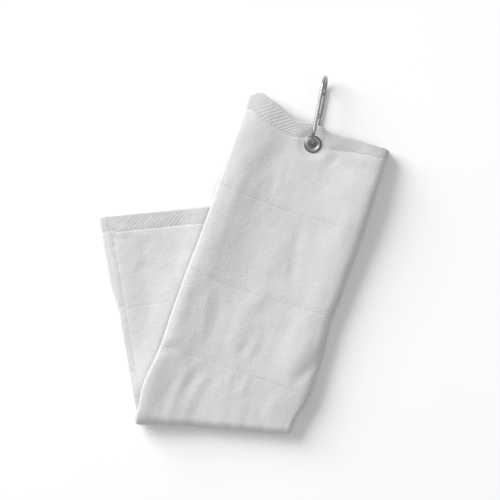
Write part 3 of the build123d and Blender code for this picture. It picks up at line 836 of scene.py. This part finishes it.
# ------------------------------------------------------------------ towel cloth
def open_hole(obj):
    """Opens the three layers inside the grommet's barrel."""
    bm = bmesh.new()
    bm.from_mesh(obj.data)
    hole = Vector((HOLE[0] * MM, HOLE[1] * MM, 0))
    found = []
    for face in bm.faces:
        centre = face.calc_center_median()
        if (Vector((centre.x, centre.y, 0)) - hole).length < 0.0026:
            found.append(face)
    found.sort(key=lambda face: face.calc_center_median().z)

    def bearing(vert):
        return math.atan2(vert.co.y - hole.y, vert.co.x - hole.x)

    rims = [sorted(face.verts, key=bearing) for face in found]
    bmesh.ops.delete(bm, geom=found, context="FACES_ONLY")
    # wall each hole from a layer's lower face to its upper one
    for low, high in zip(rims[0::2], rims[1::2]):
        count = len(low)
        if len(high) != count:
            continue

        def gap(turn):
            return sum((low[i].co - high[(i + turn) % count].co).length for i in range(count))

        best = min(range(count), key=gap)
        for i in range(count):
            j = (i + 1) % count
            try:
                bm.faces.new((low[i], low[j], high[(j + best) % count],
                              high[(i + best) % count]))
            except ValueError:
                pass  # neighbouring holes may already share this wall
    bmesh.ops.recalc_face_normals(bm, faces=bm.faces)
    bm.to_mesh(obj.data)
    bm.free()
    obj.data.update()


def towel_cloth():
    """The whole folded strip between its hems, thinned where it enters the end hems."""
    edge = SIDE_HEM - 0.9
    columns = layer_columns(outer_step=1.9, panel_step=1.6, inner_step=6.0, first=0.8,
                            start=edge, stop=RUN_END - edge)
    loop_run = np.concatenate([columns, columns[::-1]])
    loop_off = np.repeat([HALF_THICK, -HALF_THICK], len(columns))
    places, share, _ = sweep_strip(loop_run, loop_off, pitch=1.7, thin=0.27)
    shape = places.shape[:2]
    cloth = new_object("towel_cloth", places, tube_faces(*shape) + sheet_caps(*shape), VELOUR)
    blend_halves(cloth, share)
    open_hole(cloth)
    stand_for(cloth, "upper_cloth", "lower_cloth", "half_fold_bend")


towel_cloth()


# -------------------------------------------------------------------- end hems
def end_hem(name, arm, part, rib_width, rib_low, rib_rise, rise_at, fall_at):
    """Turned twill hem: a flat tube round each layer's end, ribbed on a slant.

    Ribs are rib_low high, and rib_rise higher between rise_at and fall_at across the arm."""
    columns = layer_columns(outer_step=0.55, panel_step=0.5, inner_step=4.0, first=0.25)
    edge, skin, depth = 0.95, 0.98, HEM + 0.2
    top_down = np.append(np.arange(depth, 1.0, -0.55), edge)
    arc = np.linspace(0, math.pi, 7)[1:-1]
    low_down = np.array([edge, 4.0, 8.0, 12.0, depth])
    loop_down = np.concatenate([top_down, edge - edge * np.sin(arc), low_down])
    loop_off = np.concatenate([np.full(len(top_down), skin), skin * np.cos(arc),
                               np.full(len(low_down), -skin)])
    run, down = np.meshgrid(columns, loop_down, indexing="ij")
    off = np.broadcast_to(loop_off, run.shape)
    across = section(run)[0]
    outer = off > 0.2
    phase = (0.66 * across + 0.75 * down) / rib_width * 2 * math.pi
    rib = 0.5 + 0.5 * np.sin(phase + 0.35 * noise(across, down, size=12, seed=41))
    rib_height = rib_low + rib_rise * ease(across, *rise_at) * fade(across, *fall_at)
    inner_edge = ease(down, HEM - 0.9, HEM + 0.1)
    ribs = rib_height * (rib - 0.5) * (1 - inner_edge) * ease(down, 0.9, 2.5)
    off = off + outer * (ribs - 0.22 * inner_edge)
    # the seam pulls a furrow, and the face is slightly uneven
    off = off - outer * 0.16 * np.exp(-(((down - HEM_SEAM) / 0.9) ** 2))
    off = off + outer * 0.08 * noise(across, down, size=6, seed=47)
    # rounded free ends
    from_edge = np.minimum(run, RUN_END - run)
    off = off * (0.45 + 0.55 * np.sqrt(ease(from_edge, -0.1, 1.6)))
    faces = tube_faces(*run.shape) + end_caps(*run.shape)
    ride_arm(new_object(name, place(run, off, arm.region, down), faces, TWILL), arm, part)


end_hem("top_end_hem_cloth", UPPER_ARM, "top_end_hem", rib_width=2.1,
        rib_low=0.24, rib_rise=0.2, rise_at=(-54, -30), fall_at=(16, 46))
end_hem("bottom_end_hem_cloth", LOWER_ARM, "bottom_end_hem", rib_width=2.5,
        rib_low=0.03, rib_rise=0.15, rise_at=(-58, -38), fall_at=(0, 18))


# -------------------------------------------------------------------- side hems
# Cross-section of a side hem: distance from the free edge, and off.
SIDE_HEM_TOP = (
    (7.4, 0.92), (6.9, 1.04), (6.3, 1.07), (5.8, 1.0), (5.3, 1.08), (4.6, 1.16),
    (3.8, 1.22), (3.0, 1.24), (2.2, 1.2), (1.4, 1.1), (0.7, 0.9),
)
SIDE_HEM_UNDER = ((0.7, -0.9), (2.2, -1.15), (4.0, -1.15), (5.8, -1.0), (7.4, -0.5))


def side_hem(side, ripple_row):
    """Narrow turned hem down a free edge, puckered by its seam."""
    arc = np.linspace(0, math.pi, 7)[1:-1]
    round_edge = np.column_stack([0.7 - 0.95 * np.sin(arc), 0.9 * np.cos(arc)])
    from_edge, loop_off = np.concatenate([SIDE_HEM_TOP, round_edge, SIDE_HEM_UNDER]).T
    loop_run = RUN_END - from_edge if side == "inner" else from_edge
    pitch = 1.25
    places, share, region = sweep_strip(loop_run, loop_off, pitch, first_row=HEM - 1.2)
    shape = places.shape[:2]
    ripple = 0.16 * noise(np.arange(shape[0]) * pitch, ripple_row, size=4.2, seed=53)
    # the pucker lowers the upper arm where it raises the lower one, and skips the bend
    ripple = ripple * np.array([-1.0, 0.0, 1.0])[region]
    places[..., 2] += ripple[:, None] * np.exp(-(((from_edge - SIDE_SEAM) / 3.0) ** 2))
    faces = tube_faces(*shape) + end_caps(*shape)
    obj = new_object(f"{side}_side_hem_cloth", places, faces, TURNED_HEM)
    blend_halves(obj, share)
    stand_for(obj, f"upper_{side}_side_hem", f"lower_{side}_side_hem")


side_hem("outer", ripple_row=2.2)
side_hem("inner", ripple_row=7.7)

# ------------------------------------------------------------------ woven bands
# Cross-section of a band: distance down from its middle, and off.
BAND_LOOP = (
    (-1.85, 0.80), (-1.7, 0.93), (-1.45, 1.0), (-1.15, 1.03), (-0.85, 1.04), (-0.5, 1.04),
    (-0.25, 1.04), (0, 1.04), (0.25, 1.04), (0.5, 1.04), (0.85, 1.04), (1.15, 1.03),
    (1.45, 1.0), (1.7, 0.93), (1.85, 0.80), (1.85, 0.35), (0.0, 0.35), (-1.85, 0.35),
)


def woven_bands(arm, rib_height, flap_step, panel_step):
    """Rope-like ribs woven across the towel, lying in a shallow pile-free strip."""
    columns = np.unique(np.round(np.concatenate([
        np.arange(BIG_END, PANEL_END, panel_step),
        np.arange(SIDE_HEM, OUTER_END, flap_step),
        np.arange(OUTER_END, BIG_END, 0.8),
        np.arange(PANEL_END, SMALL_END + 12, 0.8),
    ]), 3))
    loop_down, loop_off = np.array(BAND_LOOP).T
    run, down = np.meshgrid(columns, loop_down, indexing="ij")
    phase = (0.80 * section(run)[0] + 0.6 * down) / 1.8 * 2 * math.pi
    ribs = rib_height * 0.5 * np.sin(phase) * fade(np.abs(down), 1.4, 1.85)
    off = loop_off + (loop_off > 0.5) * ribs
    tubes = [place(run, off, arm.region, band + down) for band in arm.bands]
    faces = tube_faces(*run.shape) + end_caps(*run.shape)
    obj = joined_object(f"{arm.name}_woven_band_ribs", tubes, faces, BAND)
    ride_arm(obj, arm, f"{arm.name}_woven_bands")


# steps are finest on the layer that shows
woven_bands(UPPER_ARM, rib_height=0.21, flap_step=0.5, panel_step=0.36)
woven_bands(LOWER_ARM, rib_height=0.12, flap_step=0.36, panel_step=1.5)

# -------------------------------------------------------------------- stitching
STITCH_PITCH = 2.9
STITCH_HALF = 1.1
STITCH_RADIUS = 0.21
STITCH_TAPER = np.array([0.25, 0.85, 1.0, 0.85, 0.25])  # radius share along a stitch
STITCH_SIDES = 6


def stitch(run, down, arm, off):
    """Rings of one arched stitch along a short line of cloth points."""
    arch = off + 0.16 * np.sin(np.linspace(0, math.pi, len(STITCH_TAPER)))
    middle = place(run, arch, arm.region, down)
    up = place(run, arch + 0.4, arm.region, down) - middle
    up /= np.linalg.norm(up, axis=1)[:, None]
    forward = np.gradient(middle, axis=0)
    forward /= np.linalg.norm(forward, axis=1)[:, None]
    side = np.cross(forward, up)
    angle = np.linspace(0, 2 * math.pi, STITCH_SIDES, endpoint=False)[None, :, None]
    radius = (STITCH_RADIUS * STITCH_TAPER)[:, None, None]
    # the thread is flattened on to the cloth
    return (middle[:, None, :] + side[:, None, :] * np.cos(angle) * 1.15 * radius
            + up[:, None, :] * np.sin(angle) * 0.8 * radius)


def stitches(name, arm, part, off, lines):
    """Rows of stitches. A line is its direction, the fixed distance, start and stop:
    "across" goes along the section at a distance down, "down" goes down at a fixed run."""
    shape = len(STITCH_TAPER), STITCH_SIDES
    tubes = []
    for direction, fixed, start, stop in lines:
        for centre in np.arange(start + 1.3, stop - 1.2, STITCH_PITCH):
            points = centre + np.linspace(-STITCH_HALF, STITCH_HALF, shape[0])
            run, down = (points, fixed) if direction == "across" else (fixed, points)
            tubes.append(stitch(run, down, arm, off))
    faces = tube_faces(*shape) + [cap[::-1] for cap in end_caps(*shape)]
    ride_arm(joined_object(name, tubes, faces, THREAD), arm, part)


def hem_stitches(end, arm, spans):
    stitches(f"{end}_hem_stitches", arm, f"{end}_hem_thread", off=0.86,
             lines=[("across", HEM_SEAM, *span) for span in spans])


def side_stitches(arm, outer_stop, inner_stop):
    stitches(f"{arm.name}_side_stitches", arm, f"{arm.name}_side_hem_thread", off=0.84, lines=[
        ("down", SIDE_SEAM, HEM + 1, outer_stop),
        ("down", RUN_END - SIDE_SEAM, HEM + 1, inner_stop),
    ])


def around_hole(layer, start, stop):
    """Two spans of a layer that stop short of the grommet."""
    clear = 9.0
    near, far = sorted(run_at(layer, across) for across in (-clear, clear))
    return [(start, near), (far, stop)]


OUTER_SPAN = (1.0, OUTER_END - 0.5)
BIG_FOLD_SPAN = (OUTER_END + 0.3, BIG_END - 0.3)
PANEL_SPAN = (BIG_END, PANEL_END)
INNER_SPAN = (SMALL_END, RUN_END - 1.0)
hem_stitches("top", UPPER_ARM, [
    *around_hole("panel", *PANEL_SPAN),
    *around_hole("outer", *OUTER_SPAN),
    BIG_FOLD_SPAN,
    *around_hole("inner", *INNER_SPAN),
])
hem_stitches("bottom", LOWER_ARM, [OUTER_SPAN, BIG_FOLD_SPAN, PANEL_SPAN, INNER_SPAN])
side_stitches(UPPER_ARM, outer_stop=272, inner_stop=243)
side_stitches(LOWER_ARM, outer_stop=164, inner_stop=197)

# ------------------------------------------------------------------------ metal
METAL_PARTS = (
    (NICKEL_PAINTED_SHADE, ("grommet_eyelet", "grommet_washer")),
    (STEEL, ("hook_body", "hook_gate")),
    (PIN, ("gate_hinge_rivet", "gate_latch_pin", "gate_spring", "spring_plunger")),
)
for material, parts in METAL_PARTS:
    for part in parts:
        materials = frame["nodes"][part].data.materials
        materials.clear()
        materials.append(material)


def closing_spring():
    """A copy of the gate's spring, fixed to the gate in place of the CAD spring."""
    source = frame["nodes"]["gate_spring"]
    bpy.context.view_layer.update()
    mesh = source.data.copy()
    mesh.name = "closing_spring_coil"
    mesh.transform(source.matrix_world)
    obj = bpy.data.objects.new("closing_spring_coil", mesh)
    bpy.context.scene.collection.objects.link(obj)
    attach(obj, "gate")
    stand_for(obj, "gate_spring")
    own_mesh(obj)


closing_spring()


# ---------------------------------------------------------------- stage, metres
def pale_floor():
    surface = Surface("pale_floor", 0.93, roughness=0.9)
    cloud = surface.noise(surface.coords(), scale=6.0, detail=2.0)
    surface.shade("Base Color", surface.ramp(cloud, (0.3, 0.92), (0.7, 0.94)))
    half, z = 4, -0.0004
    mesh = bpy.data.meshes.new("floor")
    corners = [(-half, -half, z), (half, -half, z), (half, half, z), (-half, half, z)]
    mesh.from_pydata(corners, [], [(0, 1, 2, 3)])
    mesh.materials.append(surface.material)
    floor = bpy.data.objects.new("floor", mesh)
    bpy.context.scene.collection.objects.link(floor)


def area_light(name, location, size, power):
    """Square light aimed at the origin."""
    light = bpy.data.lights.new(name, "AREA")
    light.shape = "RECTANGLE"
    light.size = light.size_y = size
    light.energy = power
    obj = bpy.data.objects.new(name, light)
    obj.location = location
    aim = Vector((0, 0, 0)) - Vector(location)
    obj.rotation_euler = aim.to_track_quat("-Z", "Y").to_euler()
    bpy.context.scene.collection.objects.link(obj)


def studio_world(strength):
    world = bpy.data.worlds.new("studio")
    world.use_nodes = True
    background = world.node_tree.nodes["Background"]
    background.inputs["Color"].default_value = (1, 1, 1, 1)
    background.inputs["Strength"].default_value = strength
    bpy.context.scene.world = world


def top_camera(height, view_width):
    """Camera straight above the towel's middle; view_width is what it sees at z = 0."""
    camera = bpy.data.cameras.new("camera")
    camera.sensor_width = 36
    camera.lens = camera.sensor_width * height / view_width
    obj = bpy.data.objects.new("camera", camera)
    obj.location = (TOWEL_MIDDLE[0] * MM, TOWEL_MIDDLE[1] * MM, height)
    bpy.context.scene.collection.objects.link(obj)
    bpy.context.scene.camera = obj


pale_floor()
area_light("key", location=(-3.45, 2.85, 2.55), size=3.6, power=362)
area_light("fill", location=(0.8, -0.6, 4.2), size=2.6, power=34)
studio_world(strength=0.33)
bpy.context.scene.view_settings.view_transform = "Standard"
top_camera(height=2.2, view_width=0.42)
